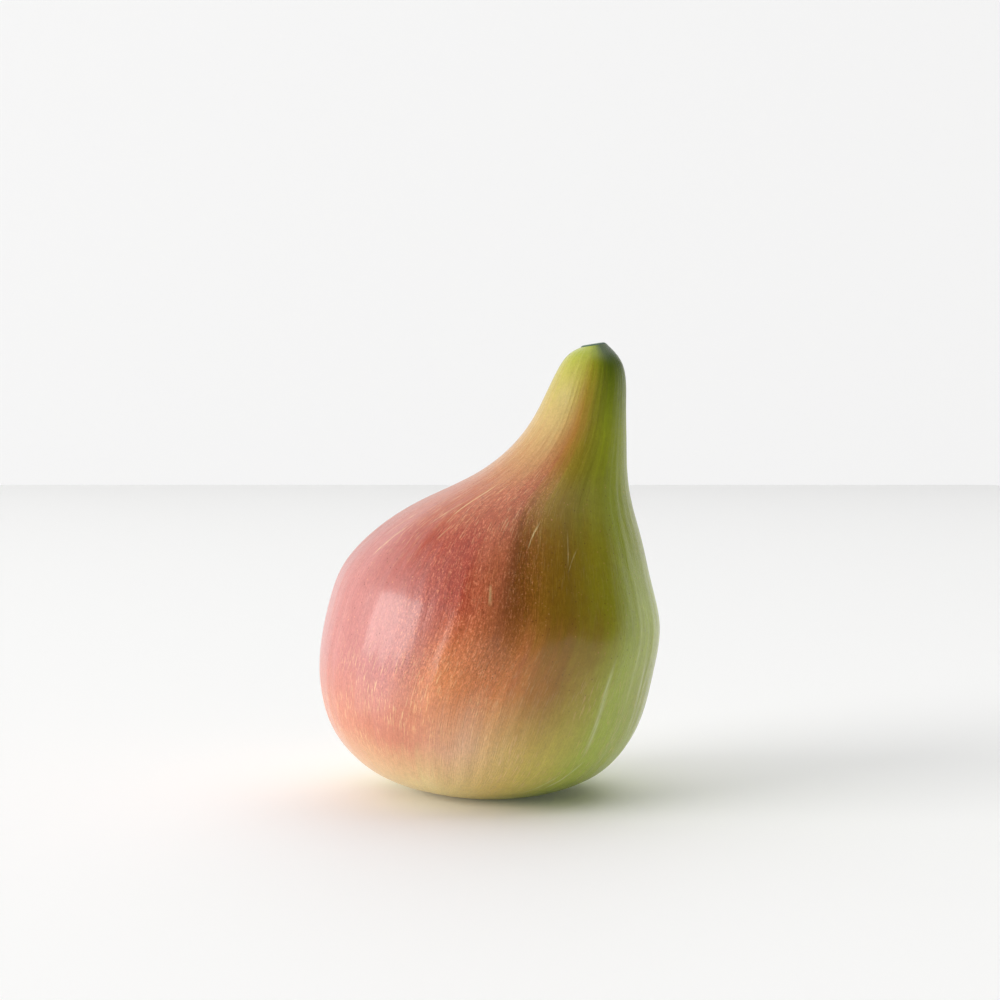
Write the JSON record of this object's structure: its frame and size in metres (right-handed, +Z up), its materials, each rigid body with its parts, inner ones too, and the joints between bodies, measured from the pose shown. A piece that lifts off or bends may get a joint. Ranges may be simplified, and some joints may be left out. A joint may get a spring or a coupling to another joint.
{
  "type": "fresh fig",
  "caption": "Whole fresh fig with a full, softly ribbed bulb drawn out into a leaning neck that ends in a small cut stem, standing on its pressed underside.",
  "frame": {"origin": "middle of the bounding box's bottom, on the surface the fig stands on", "axes": "+Z up through the bulb, +X towards the side the neck leans to, -Y the side that shows both skin colours"},
  "size_m": [0.0472, 0.0456, 0.062],
  "materials": {
    "fig_skin": "satin waxy skin, rose to brick red on one side, olive to light green on the other"
  },
  "bodies": {
    "root": {"fig": "fig_skin"}
  },
  "joints": []
}
